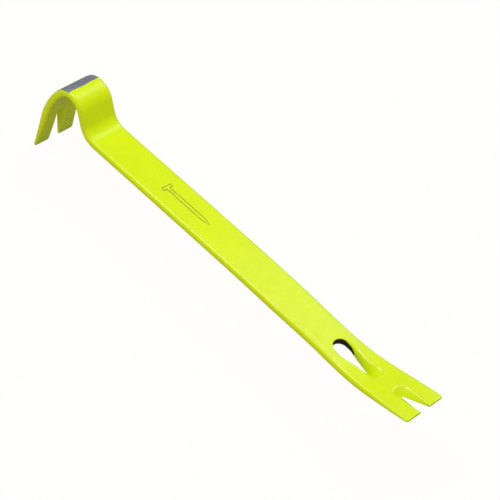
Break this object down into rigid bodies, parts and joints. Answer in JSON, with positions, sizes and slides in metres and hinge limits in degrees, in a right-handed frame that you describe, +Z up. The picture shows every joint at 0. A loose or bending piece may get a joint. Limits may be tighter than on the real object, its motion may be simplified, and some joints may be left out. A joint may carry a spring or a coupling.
{
  "type": "pry bar",
  "caption": "Flat forged pry bar with a hooked notched end, ground crown, keyhole nail slot and flared notched claw.",
  "frame": {"origin": "middle of the flat run's underside, on the coating", "axes": "+X along the bar towards the claw, +Y across it, +Z up, out of the crown's top; the hook is at -X"},
  "size_m": [0.3764, 0.0372, 0.0723],
  "materials": {
    "powder_coat": "semi-gloss powder coat, hi-vis yellow-green",
    "forged_steel": "ground along the bar on the crown, dark forging scale in the slot's round end"
  },
  "bodies": {
    "root": {"forged_bar": "forged_steel", "powder_coat": "powder_coat"}
  },
  "joints": []
}
